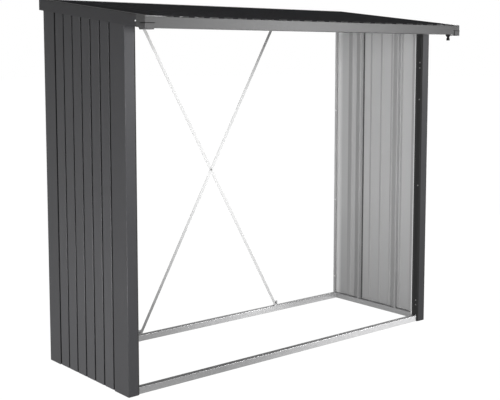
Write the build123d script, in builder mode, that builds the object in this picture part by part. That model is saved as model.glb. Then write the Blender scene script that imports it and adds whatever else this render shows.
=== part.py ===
from build123d import *
import os
from math import cos, radians, sin, tan

# Lean-to log store of folded sheet steel, open at the front and the back. All sizes are in millimetres.
# X runs along the width, Y from the open front to the rear, Z up from the ground.
# The origin is on the ground under the middle of the roof.

# Overall size, over the gutter's corner caps
roof_width = 2290
roof_depth = 1020
roof_height = 1990
roof_slope = 6.72
side_overhang = 22
front_overhang = 214
rear_overhang = 4

# Thicknesses and bends
sheet = 1.2
rail_sheet = 2.0
brace_sheet = 2.0
cap_wall = 4.0
sheet_bend = 2.0
rail_bend = 2.6

# Ribbed side walls
wall_pitch = 90
left_front_stripe = 137
least_rear_stripe = 100
groove_mouth = 14
groove_floor = 7
groove_depth = 4.5
wall_foot = 3
wall_lap = 22

# Posts
post_face = 66
post_return = 34
post_lip = 17
post_lip_lean = 5
post_bevel = 11
post_bevel_drop = 5
rear_post_face = 26
rear_post_lip = 23

# Upright stiffeners inside the side walls
stiffener_width = 60
stiffener_crown = 8
stiffener_flange = 4
front_stiffener_lag = 16
rear_stiffener_lead = 15

# Base frame and top frame
base_height = 36
base_depth = 30
front_rail_setback = 9
rear_rail_inset = 2
side_rail_face = 26
top_rail_height = 38

# Ribbed roof sheets
roof_pitch = 90
valley_mouth = 38
valley_floor = 26
valley_depth = 12
least_edge_crown = 130
roof_lap = 28
eave_gap = 20

# Roof edging and gutter
fascia_height = 60
fascia_flange = 24
gutter_drop = 4
gutter_height = 53
gutter_depth = 58
gutter_lip = 8
gutter_flange = 22
cap_length = 50
cap_height = 29
cap_lip = 1.5
cap_lip_height = 4
end_plate_length = 74

# Gutter outlet
outlet_inset = 68
funnel_radius = 15
funnel_rim = 4
funnel_height = 12
neck_radius = 7.5
neck_height = 5
hose_seat_radius = 10
hose_seat = 14
outlet_bore_radius = 5

# Rear cross brace
brace_width = 18
brace_spread = 1074
brace_inset = 20
clip_width = 30
clip_leg = 12
bolt_radius = 3
bolt_clearance = 0.1
bolt_head_radius = 5.5
bolt_head = 4

# Planes and lines that the pieces share
roof_x = roof_width / 2 - cap_wall
eave_y = -roof_depth / 2 + cap_wall
roof_rear = roof_depth / 2
side_x = roof_x - side_overhang
front_y = eave_y + front_overhang
rear_y = roof_rear - rear_overhang
rise = tan(radians(roof_slope))
up_the_roof = Vector(0, cos(radians(roof_slope)), sin(radians(roof_slope)))
eave_z = roof_height - (roof_rear - eave_y) * rise
flange_drop = sheet / cos(radians(roof_slope))
seat_drop = flange_drop + sheet + valley_depth
ridge_x = side_x - groove_depth - sheet
rail_x = side_x - side_rail_face


def roof_line(y):
    """Height of the top edge of the roof edging."""
    return eave_z + (y - eave_y) * rise


def seat_line(y):
    """Height of the plane on which the roof sheets lie."""
    return roof_line(y) - seat_drop


def roof_plane(drop):
    """The plane on which the roof sheets lie, or one a given height below it."""
    return Plane(
        origin=(0, eave_y, seat_line(eave_y) - drop),
        x_dir=(1, 0, 0),
        z_dir=(0, -sin(radians(roof_slope)), cos(radians(roof_slope))),
    )


def slope_length(run):
    """Length along the roof of a horizontal run from front to rear."""
    return run / cos(radians(roof_slope))


def across_depth(y):
    """The upright plane at y, drawn in X and Z."""
    return Plane.XZ.offset(-y)


def folded(points, thickness, bend=0):
    """The section of a folded strip: the points are its right-hand side, seen along the line."""
    with BuildSketch() as section:
        with BuildLine():
            if bend:
                FilletPolyline(*points, radius=bend)
            else:
                Polyline(*points)
            offset(amount=thickness, side=Side.LEFT, kind=Kind.INTERSECTION)
        make_face()
    return section.sketch


def channel(tip, face, low, high):
    """The line of a channel rail that is open towards its flange tips, from the top tip to the bottom one."""
    return [(tip, high), (face, high), (face, low), (tip, low)]


os.makedirs("parts", exist_ok=True)


def save(piece, name):
    """Label a finished piece and write it."""
    piece.label = name
    export_step(piece, f"parts/{name}.step")


def mirrored(right_piece):
    """The mirror image of a piece of the right side."""
    with BuildPart() as left:
        mirror(right_piece, about=Plane.YZ)
    return left.part


def save_pair(right_piece, name):
    """Write a piece of the right side, and its mirror image on the left."""
    save(right_piece, name.format("right"))
    save(mirrored(right_piece), name.format("left"))


# The left wall's grooves start behind its front stripe and leave a rear stripe of at least the width given
# above. The right wall is the same one turned round, so its grooves start a rear stripe behind the front.
left_groove_y = front_y + left_front_stripe
wall_grooves = int((rear_y - least_rear_stripe - left_groove_y) / wall_pitch) + 1
groove_run = (wall_grooves - 1) * wall_pitch
right_groove_y = front_y + rear_y - left_groove_y - groove_run
groove_x = side_x - groove_depth


def front_post_line(first_groove_y):
    """A return with a leaning lip, a bevel, the front face, and an outer flange up to the first groove."""
    return [
        (side_x - post_face + post_lip_lean, front_y + post_return + post_lip),
        (side_x - post_face, front_y + post_return),
        (side_x - post_face, front_y + post_bevel_drop),
        (side_x - post_face + post_bevel, front_y),
        (side_x, front_y),
        (side_x, first_groove_y - groove_mouth / 2),
    ]


def rear_post_line(last_groove_y):
    """An outer flange from the last groove, the narrow rear face and a lip turned forward."""
    return [
        (side_x, last_groove_y + groove_mouth / 2),
        (side_x, rear_y),
        (side_x - rear_post_face, rear_y),
        (side_x - rear_post_face, rear_y - rear_post_lip),
    ]


def into_groove(y, outer_x):
    """The two bends that lead into a wall groove, on the outer side of the sheet."""
    return [(outer_x, y - groove_mouth / 2), (groove_x, y - groove_floor / 2)]


def out_of_groove(y, outer_x):
    """The two bends that lead out of a wall groove."""
    return [(groove_x, y + groove_floor / 2), (outer_x, y + groove_mouth / 2)]


def wall_line(first_groove_y, first, last):
    """A wall sheet between two grooves. It butts in a groove floor or laps behind a post flange."""
    grooves = [first_groove_y + k * wall_pitch for k in range(first, last + 1)]
    lap_x = side_x - sheet
    if first == 0:
        line = [(lap_x, grooves[0] - groove_mouth / 2 - wall_lap)] + into_groove(grooves[0], lap_x)
    else:
        line = [(groove_x, grooves[0])]
    line += out_of_groove(grooves[0], side_x)
    for y in grooves[1:-1]:
        line += into_groove(y, side_x) + out_of_groove(y, side_x)
    line += into_groove(grooves[-1], side_x)
    if last == wall_grooves - 1:
        line += out_of_groove(grooves[-1], lap_x) + [(lap_x, grooves[-1] + groove_mouth / 2 + wall_lap)]
    else:
        line += [(groove_x, grooves[-1])]
    return line


def stiffener_line(web_y):
    """A lopsided hat that stands on the flat wall: a steep front web and a long slope to the rear."""
    flange_x = side_x - 2 * sheet
    return [
        (flange_x, web_y + stiffener_width + stiffener_flange),
        (flange_x, web_y + stiffener_width),
        (rail_x, web_y + stiffener_crown),
        (rail_x, web_y),
        (side_x - sheet, web_y),
    ]


def upright(side, name, line, foot=0, top_drop=0):
    """A folded section from a given height up to the roof, or to a plane below it, drawn on the right."""
    with BuildPart() as piece:
        with BuildSketch(Plane.XY.offset(foot)):
            add(folded(line, sheet, sheet_bend))
        extrude(amount=roof_height)
        split(bisect_by=roof_plane(top_drop), keep=Keep.BOTTOM)
    save(mirrored(piece.part) if side == "left" else piece.part, name)


def side_wall(side, first_groove_y, front_seam, rear_seam):
    """Posts, wall sheets and stiffeners of one side, with the grooves in which the sheets butt."""
    last = wall_grooves - 1
    last_groove_y = first_groove_y + groove_run
    upright(side, f"front_{side}_post", front_post_line(first_groove_y))
    upright(side, f"rear_{side}_post", rear_post_line(last_groove_y))
    upright(side, f"{side}_wall_front_sheet", wall_line(first_groove_y, 0, front_seam), wall_foot)
    upright(side, f"{side}_wall_middle_sheet", wall_line(first_groove_y, front_seam, rear_seam), wall_foot)
    upright(side, f"{side}_wall_rear_sheet", wall_line(first_groove_y, rear_seam, last), wall_foot)
    front_web_y = first_groove_y + wall_pitch + front_stiffener_lag
    rear_web_y = last_groove_y - wall_pitch - rear_stiffener_lead
    upright(side, f"{side}_wall_front_stiffener", stiffener_line(front_web_y), base_height, top_rail_height)
    upright(side, f"{side}_wall_rear_stiffener", stiffener_line(rear_web_y), base_height, top_rail_height)


side_wall("left", left_groove_y, 2, wall_grooves - 2)
side_wall("right", right_groove_y, 1, wall_grooves - 3)

# Side rails of the base and under the roof, against the ridges that the grooves make inside the wall
side_start = front_y + sheet
side_run = rear_y - rear_post_lip - side_start
with BuildPart() as base_side_rail:
    with BuildSketch(across_depth(side_start)):
        add(folded(channel(ridge_x, rail_x, 0, base_height), rail_sheet, rail_bend))
    extrude(amount=-side_run)
save_pair(base_side_rail.part, "base_{}_rail")

side_top = seat_line(side_start)
with BuildPart() as side_top_rail:
    with BuildSketch(across_depth(side_start)):
        add(folded(channel(ridge_x, rail_x, side_top - top_rail_height, side_top), rail_sheet, rail_bend))
    extrude(amount=slope_length(side_run), dir=up_the_roof)
save_pair(side_top_rail.part, "{}_top_rail")

# Front rail of the base, with end plates against the inner returns of the front posts
front_rail_y = front_y + front_rail_setback
front_span = side_x - post_face
with BuildPart() as base_front_rail:
    with BuildSketch(Plane.YZ):
        add(folded(channel(front_rail_y + base_depth, front_rail_y, 0, base_height), rail_sheet, rail_bend))
    extrude(amount=front_span, both=True)
    plate_depth = base_depth - rail_bend
    for end in (-1, 1):
        with Locations((end * (front_span - rail_sheet / 2), front_rail_y + base_depth / 2, base_height / 2)):
            Box(rail_sheet, plate_depth, base_height - rail_sheet)
save(base_front_rail.part, "base_front_rail")

# Rear rail of the base, between the lips of the rear posts
rear_rail_y = rear_y - rear_rail_inset - base_depth
rear_span = side_x - rear_post_face
with BuildPart() as base_rear_rail:
    with BuildSketch(Plane.YZ):
        add(folded(channel(rear_rail_y + base_depth, rear_rail_y, 0, base_height), rail_sheet, rail_bend))
    extrude(amount=rear_span, both=True)
save(base_rear_rail.part, "base_rear_rail")


def top_rail(face, half_span, name):
    """A channel across the width under the roof, its upper flange folded to the roof's slope."""
    tip = face + base_depth
    low = seat_line(face) - top_rail_height
    line = [(tip, seat_line(tip)), (face, seat_line(face)), (face, low), (tip, low)]
    with BuildPart() as rail:
        with BuildSketch(Plane.YZ):
            add(folded(line, rail_sheet, rail_bend))
        extrude(amount=half_span, both=True)
    save(rail.part, name)


top_rail(front_rail_y, front_span, "front_top_rail")
top_rail(rear_rail_y, rear_span, "rear_top_rail")

# Roof sheets with valleys that run from the rear down to the gutter, as many as fit at their pitch
roof_front = eave_y + gutter_lip + eave_gap
roof_run = roof_rear - 2 * sheet - roof_front
valley_z = seat_line(roof_front)
crown_z = valley_z + valley_depth
edge_x = roof_x - 2 * sheet
half_valleys = int((edge_x - least_edge_crown - valley_mouth / 2) / roof_pitch + 0.5)
seam_valleys = round(half_valleys / 3)
seam_x = seam_valleys * roof_pitch
lap = roof_lap / 2


def roof_sheet(first, count, left_edge, right_edge):
    """A roof sheet drawn on its underside, its valleys counted at half pitches from the middle."""
    line = list(left_edge)
    for k in range(first, first + count):
        x = (k + 0.5) * roof_pitch
        line += [(x - valley_mouth / 2, crown_z), (x - valley_floor / 2, valley_z)]
        line += [(x + valley_floor / 2, valley_z), (x + valley_mouth / 2, crown_z)]
    line += right_edge
    with BuildPart() as panel:
        with BuildSketch(across_depth(roof_front)):
            add(folded(line, sheet))
        extrude(amount=slope_length(roof_run), dir=up_the_roof)
    return panel.part


# The middle sheet laps over the lowered edges of the outer two
middle_edge = seam_x + lap
roof_middle = roof_sheet(-seam_valleys, 2 * seam_valleys, [(-middle_edge, crown_z)], [(middle_edge, crown_z)])
save(roof_middle, "roof_middle_sheet")
lowered_edge = [
    (seam_x - lap, crown_z - sheet),
    (seam_x + lap + sheet, crown_z - sheet),
    (seam_x + lap + 3 * sheet, crown_z),
]
roof_right = roof_sheet(seam_valleys, half_valleys - seam_valleys, lowered_edge, [(edge_x, crown_z)])
save_pair(roof_right, "roof_{}_sheet")

# Edging down both sides of the roof, its top flange on the roof sheet
fascia_line = [
    (roof_x, eave_z - fascia_height),
    (roof_x, eave_z),
    (roof_x - fascia_flange, eave_z),
]
with BuildPart() as fascia:
    with BuildSketch(across_depth(eave_y)):
        add(folded(fascia_line, sheet, sheet_bend))
    extrude(amount=slope_length(roof_rear - sheet - eave_y), dir=up_the_roof)
save_pair(fascia.part, "{}_fascia")

# Edging across the rear of the roof, over the ends of the side edgings
rear_trim_line = [
    (roof_rear, roof_height - fascia_height),
    (roof_rear, roof_height),
    (roof_rear - fascia_flange, roof_line(roof_rear - fascia_flange)),
]
with BuildPart() as rear_trim:
    with BuildSketch(Plane.YZ):
        add(folded(rear_trim_line, sheet, sheet_bend))
    extrude(amount=roof_x - fascia_flange, both=True)
    with BuildSketch(Plane.YZ.offset(roof_x - fascia_flange)):
        with Locations((roof_rear - sheet / 2, roof_height - (fascia_height + sheet_bend) / 2)):
            Rectangle(sheet, fascia_height - sheet_bend)
    extrude(amount=fascia_flange)
    mirror(about=Plane.YZ)
save(rear_trim.part, "rear_trim")

# Gutter along the eave: a front wall with a folded lip, the trough, a back wall and a flange under the roof
gutter_back = eave_y + gutter_depth
gutter_top = eave_z - gutter_drop
gutter_low = gutter_top - gutter_height
gutter_x = roof_x - sheet
outlet_x = roof_x - outlet_inset
outlet_y = eave_y + gutter_depth / 2
gutter_line = [
    (eave_y + gutter_lip, gutter_top),
    (eave_y, gutter_top),
    (eave_y, gutter_low),
    (gutter_back, gutter_low),
    (gutter_back, seat_line(gutter_back) - flange_drop),
    (gutter_back + gutter_flange, seat_line(gutter_back + gutter_flange) - flange_drop),
]
gutter_end = [
    (eave_y + sheet / 2, gutter_low + sheet / 2),
    (gutter_back - sheet / 2, gutter_low + sheet / 2),
    (gutter_back - sheet / 2, seat_line(gutter_back) - 2 * flange_drop),
    (eave_y + sheet / 2, seat_line(eave_y) - 2 * flange_drop),
]
with BuildPart() as gutter:
    with BuildSketch(Plane.YZ):
        add(folded(gutter_line, sheet, sheet_bend))
    extrude(amount=gutter_x, both=True)
    with BuildSketch(Plane.YZ.offset(gutter_x)):
        with BuildLine():
            Polyline(*gutter_end, close=True)
        make_face()
    extrude(amount=-sheet)
    mirror(about=Plane.YZ)
    with Locations((outlet_x, outlet_y, gutter_low)):
        Cylinder(outlet_bore_radius, 4 * sheet, mode=Mode.SUBTRACT)
save(gutter.part, "gutter")

# Corner cap: three walls in front of, outside and under the corner of the gutter and the side edging, a
# thinner lip along the top, and an end plate over the front of the side edging
cap_low = eave_z - fascia_height
cap_corner = (Align.MAX, Align.MIN, Align.MIN)
plate_end = eave_y + end_plate_length
end_plate = [
    (eave_y, cap_low),
    (plate_end, roof_line(plate_end) - fascia_height),
    (plate_end, roof_line(plate_end)),
    (eave_y, eave_z),
]
with BuildPart() as gutter_cap:
    with Locations((roof_x + cap_wall, eave_y - cap_wall, cap_low - cap_wall)):
        Box(cap_length, cap_length, cap_height - cap_lip_height, align=cap_corner)
    fillet(gutter_cap.edges().filter_by(Axis.Z).group_by(Axis.X)[-1].group_by(Axis.Y)[0], 2 * cap_wall)
    fillet(gutter_cap.faces().sort_by(Axis.Z)[0].edges().group_by(Axis.Y)[0], cap_wall)
    lip_length = cap_length - cap_wall + cap_lip
    with Locations((roof_x + cap_lip, eave_y - cap_lip, cap_low)):
        Box(lip_length, lip_length, cap_height - cap_wall, align=cap_corner)
    with Locations((roof_x, eave_y, cap_low)):
        Box(cap_length, cap_length, cap_height, align=cap_corner, mode=Mode.SUBTRACT)
    with BuildSketch(Plane.YZ.offset(roof_x)):
        with BuildLine():
            Polyline(*end_plate, close=True)
        make_face()
    extrude(amount=cap_lip)
save_pair(gutter_cap.part, "{}_gutter_cap")

# Gutter outlet: a funnel under the trough, a narrow neck and a wider seat for a hose
neck_top = gutter_low - funnel_rim - funnel_height
seat_top = neck_top - neck_height
outlet_outline = [
    (outlet_bore_radius, gutter_low),
    (funnel_radius, gutter_low),
    (funnel_radius, gutter_low - funnel_rim),
    (neck_radius, neck_top),
    (neck_radius, seat_top),
    (hose_seat_radius, seat_top),
    (hose_seat_radius, seat_top - hose_seat),
    (outlet_bore_radius, seat_top - hose_seat),
]
with BuildPart() as gutter_outlet:
    with BuildSketch(Plane(origin=(outlet_x, outlet_y, 0), x_dir=(1, 0, 0), z_dir=(0, -1, 0))):
        with BuildLine():
            Polyline(*outlet_outline, close=True)
        make_face()
    revolve(axis=Axis((outlet_x, outlet_y, 0), (0, 0, 1)))
save(gutter_outlet.part, "gutter_outlet")

# Cross brace in the rear opening: two flat bars that touch where they cross
brace_y = rear_y - brace_inset
brace_low = base_height
brace_high = seat_line(rear_rail_y) - top_rail_height
brace_rise = brace_high - brace_low
brace_length = (brace_spread ** 2 + brace_rise ** 2) ** 0.5
bar_end = brace_width / 2 * brace_length / brace_rise
cross_z = brace_low + brace_rise / 2


def brace_bar(lean, back, name):
    """A bar whose top leans to the right (1) or the left (-1), its back face at a given Y."""
    foot = -lean * brace_spread / 2
    head = lean * brace_spread / 2
    outline = [
        (foot - bar_end, brace_low),
        (foot + bar_end, brace_low),
        (head + bar_end, brace_high),
        (head - bar_end, brace_high),
    ]
    with BuildPart() as bar:
        with BuildSketch(across_depth(back)):
            with BuildLine():
                Polyline(*outline, close=True)
            make_face()
            with Locations((0, cross_z)):
                Circle(bolt_radius + bolt_clearance, mode=Mode.SUBTRACT)
        extrude(amount=brace_sheet)
    save(bar.part, name)


def brace_clip(x, back, on_base, name):
    """An angle that holds one end of a bar: one leg behind the bar, the other against a rail."""
    if on_base:
        line = [(back, brace_low + clip_width), (back, brace_low), (back + clip_leg, brace_low)]
    else:
        line = [(back + clip_leg, brace_high), (back, brace_high), (back, brace_high - clip_width)]
    with BuildPart() as clip:
        with BuildSketch(Plane.YZ.offset(x)):
            add(folded(line, brace_sheet))
        extrude(amount=clip_width / 2, both=True)
    save(clip.part, name)


rear_bar_y = brace_y + brace_sheet
brace_bar(1, brace_y, "brace_front_bar")
brace_bar(-1, rear_bar_y, "brace_rear_bar")
brace_clip(-brace_spread / 2, brace_y, True, "lower_left_brace_clip")
brace_clip(brace_spread / 2, rear_bar_y, True, "lower_right_brace_clip")
brace_clip(-brace_spread / 2, rear_bar_y, False, "upper_left_brace_clip")
brace_clip(brace_spread / 2, brace_y, False, "upper_right_brace_clip")

# Bolt through the two bars where they cross, with a nut behind
bolt_front = brace_y - brace_sheet
with BuildPart() as brace_bolt:
    with BuildSketch(across_depth(bolt_front)):
        with Locations((0, cross_z)):
            RegularPolygon(bolt_head_radius, 6)
    extrude(amount=bolt_head)
    with BuildSketch(across_depth(bolt_front)):
        with Locations((0, cross_z)):
            Circle(bolt_radius)
    extrude(amount=-2 * brace_sheet)
    with BuildSketch(across_depth(rear_bar_y)):
        with Locations((0, cross_z)):
            RegularPolygon(bolt_head_radius, 6)
    extrude(amount=-bolt_head)
save(brace_bolt.part, "brace_bolt")
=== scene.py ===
import math
import bmesh
import bpy
from mathutils import Matrix, Vector
from mathutils.bvhtree import BVHTree


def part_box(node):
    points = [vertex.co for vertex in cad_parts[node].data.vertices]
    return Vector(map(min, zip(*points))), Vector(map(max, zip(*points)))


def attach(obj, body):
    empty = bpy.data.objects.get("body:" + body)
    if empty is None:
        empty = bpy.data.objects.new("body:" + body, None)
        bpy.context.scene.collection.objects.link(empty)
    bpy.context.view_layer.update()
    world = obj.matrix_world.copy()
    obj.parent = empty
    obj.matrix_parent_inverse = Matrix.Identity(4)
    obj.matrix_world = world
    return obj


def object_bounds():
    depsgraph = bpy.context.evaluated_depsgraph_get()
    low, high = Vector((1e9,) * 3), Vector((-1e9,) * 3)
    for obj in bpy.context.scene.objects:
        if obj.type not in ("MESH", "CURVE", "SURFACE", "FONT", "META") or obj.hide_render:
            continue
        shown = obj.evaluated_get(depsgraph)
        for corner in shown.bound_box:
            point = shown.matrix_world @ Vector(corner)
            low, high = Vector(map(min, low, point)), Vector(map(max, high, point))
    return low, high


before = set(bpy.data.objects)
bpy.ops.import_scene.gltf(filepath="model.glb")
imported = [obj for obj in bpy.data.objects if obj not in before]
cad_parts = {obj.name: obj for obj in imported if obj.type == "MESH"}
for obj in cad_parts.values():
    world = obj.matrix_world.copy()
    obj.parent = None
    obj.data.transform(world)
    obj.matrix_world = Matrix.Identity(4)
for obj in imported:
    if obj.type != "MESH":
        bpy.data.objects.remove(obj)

cad_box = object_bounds()


# Studio
# A white floor and surroundings, with soft lamps in front and on both sides at a plain level.
# The camera stands in front of the store's left corner at head height.
def aimed(name, data, place, target):
    """A lamp or camera at a place, turned to face a target."""
    thing = bpy.data.objects.new(name, data)
    thing.location = place
    thing.rotation_euler = (Vector(target) - Vector(place)).to_track_quat("-Z", "Y").to_euler()
    bpy.context.scene.collection.objects.link(thing)
    return thing


picture_width = 500
lens_in_pixels = 969.6
heading = math.radians(39.916)
tilt = math.radians(5.881)
ahead = Vector((math.sin(heading) * math.cos(tilt), math.cos(heading) * math.cos(tilt),
                -math.sin(tilt)))
stand = Vector((-3.645, -4.246, 1.684))
camera = bpy.data.cameras.new("camera")
camera.sensor_width = 36
camera.lens = camera.sensor_width * lens_in_pixels / picture_width
camera.shift_y = -0.088
camera.clip_end = 200
bpy.context.scene.camera = aimed("camera", camera, stand, stand + ahead)


def soft_lamp(name, place, target, size, watts):
    """An oblong area lamp that faces a target."""
    lamp = bpy.data.lights.new(name, "AREA")
    lamp.shape = "RECTANGLE"
    lamp.size, lamp.size_y = size
    lamp.energy = watts
    return aimed(name, lamp, place, target)


soft_lamp("gutter_lamp", (4.5, -5.6, 1.9), (0, -0.5, 1.6), size=(1.8, 1.1), watts=305)
soft_lamp("rail_lamp", (3.9, -4.2, 0.3), (0.9, -0.28, 0.05), size=(1.2, 0.3), watts=22)
soft_lamp("bay_lamp", (-5.0, -5.0, 1.7), (1.1, 0.1, 1.0), size=(2.4, 2.2), watts=285)
soft_lamp("wall_lamp", (-2.7, -0.3, 0.15), (-1.1, 0.0, 0.25), size=(1.8, 0.25), watts=26)
soft_lamp("corner_lamp", (-3.0, -2.2, 0.2), (-1.1, 0.0, 0.3), size=(1.4, 0.3), watts=50)
soft_lamp("side_lamp", (5.0, 1.2, 1.6), (1.12, 0.1, 1.0), size=(2.4, 2.2), watts=130)
soft_lamp("post_lamp", (-0.95, -1.5, 1.38), (-1.09, -0.29, 1.42), size=(0.4, 0.4), watts=11)


class Wire:
    """One output of a node tree. Arithmetic on wires adds Math nodes."""

    def __init__(self, tree, output=None):
        self.tree, self.output = tree, output

    def node(self, kind, inputs=None, pick=0, stops=None, **settings):
        """The output of a new node: its settings, then the values or wires of its sockets."""
        made = self.tree.nodes.new("ShaderNode" + kind)
        for name, value in settings.items():
            setattr(made, name, value)
        if stops:
            while len(made.color_ramp.elements) < len(stops):
                made.color_ramp.elements.new(1.0)
            for element, (place, level) in zip(made.color_ramp.elements, stops):
                element.position, element.color = place, (level, level, level, 1)
        for name, value in (inputs or {}).items():
            if isinstance(value, Wire):
                self.tree.links.new(value.output, made.inputs[name])
            else:
                made.inputs[name].default_value = value
        return Wire(self.tree, made.outputs[pick])

    def to_output(self, kind):
        """Joins this shader to a new output node."""
        end = self.tree.nodes.new("ShaderNodeOutput" + kind)
        self.tree.links.new(self.output, end.inputs["Surface"])

    def maths(self, operation, a, b=0.0):
        """A Math node on two numbers or wires."""
        return self.node("Math", {0: a, 1: b}, operation=operation)

    def __add__(self, other):
        return self.maths("ADD", self, other)

    __radd__ = __add__

    def __mul__(self, other):
        return self.maths("MULTIPLY", self, other)

    __rmul__ = __mul__

    def __sub__(self, other):
        return self.maths("SUBTRACT", self, other)

    def __rsub__(self, other):
        return self.maths("SUBTRACT", other, self)

    def __gt__(self, other):
        return self.maths("GREATER_THAN", self, other)

    def __lt__(self, other):
        return self.maths("LESS_THAN", self, other)

    def __or__(self, other):
        return self.maths("MAXIMUM", self, other)

    def __abs__(self):
        return self.maths("ABSOLUTE", self)

    def vector_maths(self, operation, other=(0, 0, 0), pick="Vector"):
        """A Vector Math node on this wire and another vector."""
        return self.node("VectorMath", {0: self, 1: other}, pick, operation=operation)

    def axis(self, letter):
        """The X, Y or Z of this vector."""
        return self.node("SeparateXYZ", {0: self}, letter)

    def ramp(self, start, end, first=0.0, last=1.0, **settings):
        """From first to last as this wire goes from start to end, and level beyond them."""
        span = {"From Min": start, "From Max": end, "To Min": first, "To Max": last}
        return self.node("MapRange", {"Value": self, **span}, **settings)

    def blend(self, low, high):
        """A colour from low to high as this wire goes from 0 to 1."""
        return self.node("Mix", {0: self, 6: low, 7: high}, pick=2, data_type="RGBA")


def blank(owner):
    """The emptied node tree of a material or world, as a wire to start from."""
    owner.use_nodes = True
    owner.node_tree.nodes.clear()
    return Wire(owner.node_tree)


def grey(level, blue=0.0):
    """A neutral colour, or one with a little more blue."""
    return (level, level, level * (1 + blue), 1)


def mirror_rays(wire):
    """1 for rays that come from a reflection or through glass."""
    glossy = wire.node("LightPath", pick="Is Glossy Ray")
    return glossy | wire.node("LightPath", pick="Is Transmission Ray")


world = bpy.data.worlds.new("studio_light")
bpy.context.scene.world = world
sky = blank(world)
seen = sky.node("LightPath", pick="Is Camera Ray")
mirrored = mirror_rays(sky)
height = sky.node("TexCoord", pick="Generated").axis("Z")
# Reflections see white at the horizon and a darker ceiling.
horizon_level, ceiling_level, lighting_level = 1.0, 0.25, 0.14
reflected = height.ramp(-0.02, 0.16, horizon_level, ceiling_level)
level = (seen | mirrored * reflected) + lighting_level * (1 - (seen | mirrored))
sky.node("Background", {"Color": grey(1.0), "Strength": level}).to_output("World")

floor_half_width, floor_depth = 60, 0.0005
floor_mesh = bmesh.new()
bmesh.ops.create_grid(floor_mesh, x_segments=1, y_segments=1, size=floor_half_width)
floor_data = bpy.data.meshes.new("floor")
floor_mesh.to_mesh(floor_data)
floor_mesh.free()
floor = bpy.data.objects.new("floor", floor_data)
floor.location.z = -floor_depth
bpy.context.scene.collection.objects.link(floor)
floor_paint = bpy.data.materials.new("pale_floor")
ground = blank(floor_paint)
shaded = ground.node("BsdfDiffuse", {"Color": grey(0.8)})
white = ground.node("Emission", {"Color": grey(1.0), "Strength": 1.05})
white_share = (ground.node("LightPath", pick="Is Camera Ray") | mirror_rays(ground)) * 0.96
ground.node("MixShader", {0: white_share, 1: shaded, 2: white}).to_output("Material")
floor_data.materials.append(floor_paint)


# Base frame
# Four channel rails folded from zinc-coated steel and left bare, with a faint spangle.
# The front one has end plates that are screwed to the posts.
def finish(name, sockets):
    """A material whose shader's sockets come from a function of its object coordinates."""
    made = bpy.data.materials.new(name)
    place = blank(made).node("TexCoord", pick="Object")
    place.node("BsdfPrincipled", sockets(place)).to_output("Material")
    return made


def noise(place, size, detail=2.0, scale=(1, 1, 1)):
    """Noise from 0 to 1 with patches of about the given size in metres, stretched by the scale."""
    spread = place.node("Mapping", {"Vector": place, "Scale": scale})
    return place.node("TexNoise", {"Vector": spread, "Scale": 1 / size, "Detail": detail})


def face_normal(place):
    """The way that a flat face looks. The store isn't turned, so its axes are the world's."""
    return place.node("NewGeometry", pick="True Normal")


def zinc(name, pale, rough, upper=None):
    """Bare zinc coating: crystals of slightly different brightness.

    With upper, a rail painted brighter to the right, a painted highlight, and whose upper face is
    painted that many times brighter still, painted light from above.
    """
    crystals_per_metre = 110.0

    def sockets(place):
        crystal = place.node("TexVoronoi", {"Vector": place, "Scale": crystals_per_metre},
                             pick="Color").axis("X")
        mottle = crystal * 0.5 + noise(place, 0.20, 3.0) * 0.5
        tone = mottle.blend(grey(pale * 0.94, 0.008), grey(pale * 1.05, 0.008))
        if upper:
            # Painted light: brighter to the right as a painted highlight, and the upper face
            # brighter still.
            along = place.axis("X").ramp(-0.65, 0.8, 0.6, 1.34, interpolation_type="SMOOTHSTEP")
            faces_up = face_normal(place).axis("Z") > 0.7
            painted_light_gain = along * (1 + faces_up * (upper - 1))
            tone = place.node("VectorMath", {0: tone, "Scale": painted_light_gain}, operation="SCALE")
        rolled = noise(place, 0.25, 1.0)
        return {
            "Base Color": tone,
            "Metallic": 0.85,
            "Roughness": rough + crystal * 0.08,
            "Normal": place.node("Bump", {"Height": rolled, "Distance": 0.001, "Strength": 0.4}),
        }
    return finish(name, sockets)


def cover(material, *nodes):
    """Gives CAD nodes a material."""
    for node in nodes:
        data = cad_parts[node].data
        data.materials.clear()
        data.materials.append(material)


# The front and rear rails carry painted light: brighter to the right and on top.
cover(zinc("front_rail_zinc", pale=0.40, rough=0.36, upper=1.25), "base_front_rail")
cover(zinc("rear_rail_zinc", pale=0.40, rough=0.36, upper=1.9), "base_rear_rail")
cover(zinc("side_rail_zinc", pale=0.30, rough=0.36), "base_left_rail", "base_right_rail")


# Posts
# Folded from zinc-coated sheet, stove-enamelled dark metallic grey on the outer side and left in
# pale primer within. Each is screwed to the rails through its inner return.
def is_outer(place, centre, sides):
    """1 on faces that look away from a line through centre, or from its mirror image on the left.

    sides says how much each axis counts.
    """
    hand = place.node("CombineXYZ", {0: place.maths("SIGN", place.axis("X")), 1: 1.0, 2: 1.0})
    facing = face_normal(place).vector_maths("MULTIPLY", hand)
    reach = place.vector_maths("MULTIPLY", hand).vector_maths("SUBTRACT", centre)
    reach = reach.vector_maths("MULTIPLY", sides).vector_maths("NORMALIZE")
    return facing.vector_maths("DOT_PRODUCT", reach, pick="Value") > -0.1


enamel, primer = 0.036, 0.43
# Below a roughness of about 0.275 the denoised picture shows the enamel's patches with an outline.
enamel_rough, primer_rough = 0.278, 0.55


def clouds(place):
    """Broad soft patches, as of a coat that isn't quite even."""
    return noise(place, 0.35, 3.0)


def enamel_tone(place, dark, blue=0.06):
    """Metallic enamel: faint clouds and a fine flake."""
    speck = noise(place, 0.0016, 1.0)
    mottle = clouds(place) * 0.5 + speck * 0.5
    return mottle.blend(grey(dark * 0.9, blue), grey(dark * 1.12, blue))


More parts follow.
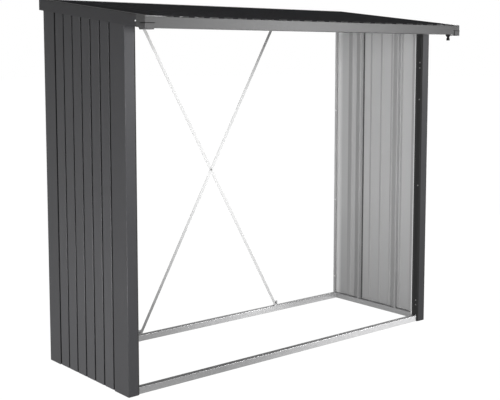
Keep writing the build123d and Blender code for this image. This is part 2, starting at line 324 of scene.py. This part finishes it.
def primer_tone(place, pale):
    """Thin primer: faint clouds, streaks along the rolled sheet, and darker towards the ground."""
    streak = noise(place, 0.05, 3.0, scale=(1, 1, 0.06))
    mottle = clouds(place) * 0.4 + streak * 0.6
    tone = mottle.blend(grey(pale * 0.95, 0.006), grey(pale * 1.05, 0.006))
    darker_low = place.axis("Z").ramp(0.8, 0.05, last=0.35)
    return darker_low.blend(tone, grey(pale * 0.35))


def rolled_sheet(place):
    """Broad faces that are never quite flat, under a fine orange peel."""
    waves = noise(place, 0.30, 1.0) + noise(place, 0.0022, 2.0) * 0.02
    return place.node("Bump", {"Height": waves, "Distance": 0.0012, "Strength": 0.5})


def coated(name, centre, sides, dark=enamel, gloss=0.1, flake=0.25, groove_x=None, foot_light=0.0,
           dim=1.0, fold=None):
    """Enamel on the outer side of a folded sheet and primer within.

    Nearer the bay than groove_x the sheet is the floor of a groove, painted nearly black:
    painted shade. With a foot light level, the enamel is painted paler towards the ground:
    painted light. With dim, it is that much darker on the faces that look into the bay:
    painted shade. With fold, the primer is painted paler into the rear fold, which lies beyond
    that x and ends at that y: painted light.
    """
    fold_depth = 0.055

    def sockets(place):
        outer = is_outer(place, centre, sides)
        across = place.axis("X")
        paint = enamel_tone(place, dark)
        bare = primer_tone(place, primer)
        flakes = outer * flake
        rough = primer_rough - outer * (primer_rough - enamel_rough)
        # Painted light: the primer is painted paler deep in the rear fold.
        if fold:
            fold_x, fold_y = fold
            painted_fold_light = place.axis("Y").ramp(fold_y - fold_depth, fold_y)
            bare = (painted_fold_light * (abs(across) > fold_x)).blend(bare, grey(0.9))
        # Painted shade: faces that look into the bay are painted darker, without flake.
        if dim < 1:
            inward = across * face_normal(place).axis("X") < -0.25
            paint = inward.blend(paint, grey(dark * dim))
            flakes = flakes * (1 - inward)
        # Painted light: the enamel is painted paler towards the ground.
        if foot_light:
            near_ground = place.axis("Z").ramp(1.9, 0.25, last=foot_light)
            paint = near_ground.blend(paint, grey(dark * 2, 0.06))
        # Painted shade: groove floors painted nearly black, the primer on the ridges within
        # darker.
        if groove_x:
            in_groove = abs(across) < groove_x
            paint = in_groove.blend(paint, grey(dark * 0.06))
            bare = in_groove.blend(bare, grey(primer * 0.72))
            flakes = flakes * (1 - in_groove)
            rough = rough + outer * in_groove * 0.7
        return {
            "Base Color": outer.blend(bare, paint),
            "Metallic": flakes,
            "Roughness": rough + clouds(place) * 0.02,
            "Specular IOR Level": gloss,
            "Normal": rolled_sheet(place),
        }
    return finish(name, sockets)


low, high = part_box("front_right_post")
core = ((low.x + high.x) / 2, low.y + 0.016, 0)
# The front posts' faces into the bay are painted darker: painted shade.
front_post_coat = coated("front_post_coat", core, (1, 1, 0), dim=0.55)
cover(front_post_coat, "front_left_post", "front_right_post")
low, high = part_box("rear_right_post")
core = (0, high.y - 0.012, 0)
# The rear posts' primer is painted paler in their rear folds: painted light.
rear_post_coat = coated("rear_post_coat", core, (1, 1, 0), fold=(low.x + 0.004, high.y))
cover(rear_post_coat, "rear_left_post", "rear_right_post")


def placed(name, mesh, material):
    """A piece of the finished mesh that belongs to the store."""
    data = bpy.data.meshes.new(name)
    mesh.to_mesh(data)
    mesh.free()
    data.materials.append(material)
    piece = bpy.data.objects.new(name, data)
    bpy.context.scene.collection.objects.link(piece)
    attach(piece, "root")


def strips(name, hand, boxes, material):
    """Straight strips with softened edges on one hand of the store.

    Each box is two corners, as they are on the right.
    """
    mesh = bmesh.new()
    for low, high in boxes:
        low, high = Vector(low), Vector(high)
        middle = (low + high) / 2
        middle.x *= hand
        size = Matrix.Diagonal((*(high - low), 1))
        bmesh.ops.create_cube(mesh, size=1, matrix=Matrix.Translation(middle) @ size)
    bmesh.ops.bevel(mesh, geom=mesh.edges[:], offset=0.0003, affect="EDGES", segments=2,
                    profile=0.5, material=-1)
    placed(name, mesh, material)


hands = {"left": -1, "right": 1}  # the sign of x on each side
# Partly the bare zinc of each front post's cut edge, widened and paled: a painted highlight.
cut_edge_highlight = zinc("cut_edge_zinc", pale=0.80, rough=0.45)
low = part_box("front_right_post")[0]
lip_end = low.y + 0.0512
edge_near, edge_far = low.x + 0.0036, low.x + 0.0070
edge_depth, edge_foot, edge_top = 0.0055, 0.037, 1.842
edge = ((edge_near, lip_end, edge_foot), (edge_far, lip_end + edge_depth, edge_top))
for side, hand in hands.items():
    strips(f"front_{side}_post_edge", hand, [edge], cut_edge_highlight)


# Side walls
# Three ribbed sheets a side of the same enamelled steel, their grooves rolled in from the outside.
# The grooves are painted nearly black: painted shade.
ridge_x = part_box("right_wall_middle_sheet")[1].x
# The walls' enamel is painted paler towards the ground: painted light.
wall_coat = coated("wall_sheet_coat", (0, 0, 0), (1, 0, 0), groove_x=ridge_x - 0.0015, foot_light=0.3)
for part in ("front", "middle", "rear"):
    cover(wall_coat, *(f"{side}_wall_{part}_sheet" for side in hands))


# Stiffeners and the rails under the roof
# Folded from the same sheet and primed all over, screwed to the walls and posts.
# A dark strip of painted shade runs up the wall beside each rear stiffener.
def primed(name, pale):
    """Primer all over."""
    def sockets(place):
        return {
            "Base Color": primer_tone(place, pale),
            "Roughness": primer_rough + clouds(place) * 0.04,
            "Specular IOR Level": 0.1,
            "Normal": rolled_sheet(place),
        }
    return finish(name, sockets)


rail_coat = primed("primed_rail_coat", primer * 0.92)
for side in hands:
    cover(rail_coat, f"{side}_wall_front_stiffener", f"{side}_wall_rear_stiffener",
          f"{side}_top_rail")
cover(rail_coat, "front_top_rail", "rear_top_rail")


def shade_strip_paint(place):
    """Dull dark grey, for a strip of painted shade."""
    return {
        "Base Color": noise(place, 0.05, 3.0).blend(grey(0.066), grey(0.095)),
        "Roughness": 0.8,
        "Specular IOR Level": 0.1,
    }


# Painted shade: a dark strip stands in for the shade beside each rear stiffener.
shade_strip_material = finish("shade_strip_paint", shade_strip_paint)
shade_strip_width, shade_strip_thickness, shade_strip_gap = 0.013, 0.0008, 0.0015
shade_strip_foot, shade_strip_top = 0.038, 1.900
wall_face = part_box("right_wall_rear_stiffener")[1].x
for side, hand in hands.items():
    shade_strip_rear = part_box(f"{side}_wall_rear_stiffener")[0].y - shade_strip_gap
    band = ((wall_face - shade_strip_thickness, shade_strip_rear - shade_strip_width, shade_strip_foot),
            (wall_face, shade_strip_rear, shade_strip_top))
    strips(f"{side}_wall_painted_shade_strip", hand, [band], shade_strip_material)


# Cross brace
# Two flat zinc-coated bars bolted where they cross, held by four small angles.
# Their tone changes with height: a painted reflection of brighter and darker surroundings.
def bar_zinc(name, tones):
    """Zinc coating whose tone changes with height, a painted reflection. Each tone has its height
    in metres.
    """
    ramp_height = 2.0

    def sockets(place):
        stops = [(height / ramp_height, tone) for height, tone in tones]
        share = place.axis("Z") * (1 / ramp_height)
        return {
            "Base Color": place.node("ValToRGB", {"Fac": share}, stops=stops),
            "Metallic": 0.5,
            "Roughness": 0.6 + noise(place, 0.2) * 0.05,
        }
    return finish(name, sockets)


# Painted reflection: the tones by height stand in for what the bars mirror.
front_bar_painted_reflection = ((0.0, 0.16), (0.25, 0.275), (0.52, 0.405), (0.92, 0.54),
                   (1.32, 0.48), (1.45, 0.43), (1.72, 0.21), (2.0, 0.16))
rear_bar_painted_reflection = ((0.0, 0.53), (0.25, 0.53), (0.4, 0.51), (0.65, 0.545), (0.9, 0.54),
                  (1.15, 0.52), (1.45, 0.525), (1.72, 0.50), (2.0, 0.46))
cover(bar_zinc("front_bar_zinc", front_bar_painted_reflection), "brace_front_bar")
cover(bar_zinc("rear_bar_zinc", rear_bar_painted_reflection), "brace_rear_bar")
clip_zinc = zinc("brace_clip_zinc", pale=0.30, rough=0.5)
for side in hands:
    cover(clip_zinc, f"upper_{side}_brace_clip", f"lower_{side}_brace_clip")


def dark_steel(place):
    """Darkened steel."""
    tone = noise(place, 0.004)
    return {
        "Base Color": tone.blend(grey(0.10), grey(0.16)),
        "Metallic": 0.9,
        "Roughness": 0.38 + tone * 0.1,
    }


cover(finish("bolt_steel", dark_steel), "brace_bolt")


# Roof sheets
# Three ribbed sheets of a darker, duller enamel that lap over a crown, screwed down to the rails.
# Only their undersides, seen from the bay, are primed.
far_below = -100
roof_coat = coated("roof_sheet_coat", (0, 0, far_below), (0, 0, 1), dark=0.075, gloss=0.0,
                   flake=0.0)
cover(roof_coat, "roof_left_sheet", "roof_middle_sheet", "roof_right_sheet")


# Roof edging
# Folded angles round three sides of the roof, each with its upper flange on the roof sheet.
# They are enamelled outside and primed within, as the posts are.
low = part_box("right_fascia")[0]
fascia_coat = coated("fascia_coat", (low.x, 0, low.z - 0.01), (1, 0, 1), dark=enamel * 0.8)
cover(fascia_coat, "left_fascia", "right_fascia")
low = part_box("rear_trim")[0]
trim_coat = coated("rear_trim_coat", (0, low.y, low.z), (0.001, 1, 1))
cover(trim_coat, "rear_trim")


# Gutter
# A folded trough of the same sheet, enamelled on both sides, with moulded corner caps.
# A thin dark line along the top of each cap is painted shade.
def enamelled(name, dark, rough=0.28, blue=0.06):
    """Enamel all over."""
    def sockets(place):
        return {
            "Base Color": enamel_tone(place, dark, blue),
            "Metallic": 0.25,
            "Roughness": rough + clouds(place) * 0.04,
            "Specular IOR Level": 0.1,
            "Normal": rolled_sheet(place),
        }
    return finish(name, sockets)


gutter_coat = enamelled("gutter_coat", dark=0.05, rough=0.34, blue=0.01)
cover(gutter_coat, "gutter", "left_gutter_cap", "right_gutter_cap")


def cap_shade_paint(place):
    """Black without shine, for a line of painted shade."""
    return {
        "Base Color": noise(place, 0.01, 3.0).blend(grey(0.004), grey(0.008)),
        "Roughness": 0.7,
        "Specular IOR Level": 0.1,
    }


# Painted shade: dark strips stand in for the shade along the top of each cap.
cap_shade_material = finish("cap_shade_paint", cap_shade_paint)
low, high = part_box("right_gutter_cap")
shade_line_foot, shade_line_height = low.z + 0.0292, 0.0032
shade_line_top = shade_line_foot + shade_line_height
shade_line_front, shade_line_outer = low.y + 0.0023, high.x - 0.0010
along_front = ((low.x - 0.007, shade_line_front, shade_line_foot), (shade_line_outer, low.y + 0.0039, shade_line_top))
along_side = ((high.x - 0.0025, shade_line_front, shade_line_foot), (shade_line_outer, low.y + 0.0415, shade_line_top))
for side, hand in hands.items():
    strips(f"{side}_cap_shadow_line", hand, [along_front, along_side], cap_shade_material)


# Gutter outlet
# Black moulded plastic, clipped through the bottom of the gutter.
# A hose is pushed on from below.
def black_plastic(place):
    """Moulded plastic with a fine grain."""
    tone = noise(place, 0.01, 3.0)
    grain = noise(place, 0.0008)
    return {
        "Base Color": tone.blend(grey(0.003), grey(0.006)),
        "Roughness": 0.55 + tone * 0.1,
        "Specular IOR Level": 0.15,
        "Normal": place.node("Bump", {"Height": grain, "Distance": 0.0001, "Strength": 0.5}),
    }


cover(finish("outlet_plastic", black_plastic), "gutter_outlet")


# Screws
# Hexagonal self-drilling screws with a pressed flange, zinc-plated, driven from the open side.
# Those of the roof have enamelled heads and sit in the valleys over the front and rear rails.
def screws(name, seats, material, size=1.0):
    """Many screw heads as one piece: each seat is a point and the way that the head faces."""
    flange_radius, flange_height = 0.0046 * size, 0.0009 * size
    head_radius, head_height = 0.0034 * size, 0.0028 * size
    mesh = bmesh.new()
    crowns = []
    for point, facing in seats:
        turn = Vector((0, 0, 1)).rotation_difference(Vector(facing)).to_matrix().to_4x4()
        place = Matrix.Translation(point) @ turn
        lift = Matrix.Translation((0, 0, flange_height / 2))
        bmesh.ops.create_cone(mesh, cap_ends=True, segments=16, radius1=flange_radius,
                              radius2=flange_radius * 0.9, depth=flange_height,
                              matrix=place @ lift)
        lift = Matrix.Translation((0, 0, flange_height + head_height / 2))
        bmesh.ops.create_cone(mesh, cap_ends=True, segments=6, radius1=head_radius,
                              radius2=head_radius, depth=head_height, matrix=place @ lift)
        # A crown is the six edges round the top of a head.
        top = place @ Vector((0, 0, flange_height + head_height))
        crowns += [edge for edge in mesh.edges
                   if all((vert.co - top).length < head_radius * 1.01 for vert in edge.verts)]
    # All in one bevel: with a bevel for each head, the order of the corners changes between runs.
    bmesh.ops.bevel(mesh, geom=crowns, offset=0.0007 * size, affect="EDGES", segments=2,
                    profile=0.5, material=-1)
    placed(name, mesh, material)


dull_zinc = zinc("dull_screw_zinc", pale=0.22, rough=0.40)
# Painted highlight: a much paler copy of the plating for the screws that glint.
glint_zinc = zinc("glint_screw_zinc", pale=0.80, rough=0.30)
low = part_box("front_right_post")[0]
return_screw_y = low.y + 0.014
return_screw_heights = (1.644, 1.611, 1.415, 0.874, 0.136, 0.107)
lip_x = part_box("rear_right_post")[0].x
lip_screw_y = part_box("rear_right_post")[1].y - 0.012
lip_screw_heights = (1.312, 0.694, 0.152)
fascia_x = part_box("right_fascia")[1].x
fascia_screw_y, fascia_screw_height = -0.4247, 1.8483
end_screw_inset, end_screw_rise, clip_thickness = 0.0105, 0.015, 0.002
bar_end_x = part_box("brace_front_bar")[1].x - end_screw_inset
bar_end_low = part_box("brace_front_bar")[0].z + end_screw_rise
bar_end_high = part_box("brace_front_bar")[1].z - end_screw_rise
for side, hand in hands.items():
    return_seats = [((hand * low.x, return_screw_y, z), (-hand, 0, 0))
                    for z in return_screw_heights]
    screws(f"front_{side}_post_screws", return_seats, dull_zinc)
    lip_seats = [((hand * lip_x, lip_screw_y, z), (-hand, 0, 0)) for z in lip_screw_heights]
    screws(f"rear_{side}_post_screws", lip_seats, glint_zinc)
    fascia_seat = ((hand * fascia_x, fascia_screw_y, fascia_screw_height), (hand, 0, 0))
    screws(f"{side}_fascia_screw", [fascia_seat], glint_zinc, size=0.95)
    ends = []
    for bar, z in (("brace_front_bar", bar_end_high if hand > 0 else bar_end_low),
                   ("brace_rear_bar", bar_end_low if hand > 0 else bar_end_high)):
        front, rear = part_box(bar)[0].y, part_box(bar)[1].y + clip_thickness
        ends += [((hand * bar_end_x, front, z), (0, -1, 0)),
                 ((hand * bar_end_x, rear, z), (0, 1, 0))]
    screws(f"{side}_brace_screws", ends, dull_zinc, size=1.3)


def landing(node, x, y):
    """Where a plumb line from above meets a CAD node, and the way that its surface faces there."""
    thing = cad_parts[node]
    points = [thing.matrix_world @ vertex.co for vertex in thing.data.vertices]
    surface = BVHTree.FromPolygons(points, [face.vertices for face in thing.data.polygons])
    above = cad_box[1][2] + 0.1
    return surface.ray_cast(Vector((x, y, above)), Vector((0, 0, -1)))[:2]


screw_rows = (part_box("front_top_rail")[1].y - 0.015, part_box("rear_top_rail")[0].y + 0.004)
valley_pitch, half_valleys = 0.09, 11
valleys = [(k + 0.5) * valley_pitch for k in range(-half_valleys, half_valleys)]
first_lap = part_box("roof_right_sheet")[0].x + 0.014
for part, start, end in (("left", -math.inf, -first_lap), ("middle", -first_lap, first_lap),
                         ("right", first_lap, math.inf)):
    seats = [landing(f"roof_{part}_sheet", x, y) for x in valleys if start < x < end
             for y in screw_rows]
    screws(f"roof_{part}_screws", seats, enamelled(f"roof_{part}_screw_coat", 0.03), size=1.5)


# Hand-over
# Picture colours
bpy.context.scene.view_settings.view_transform = "Standard"
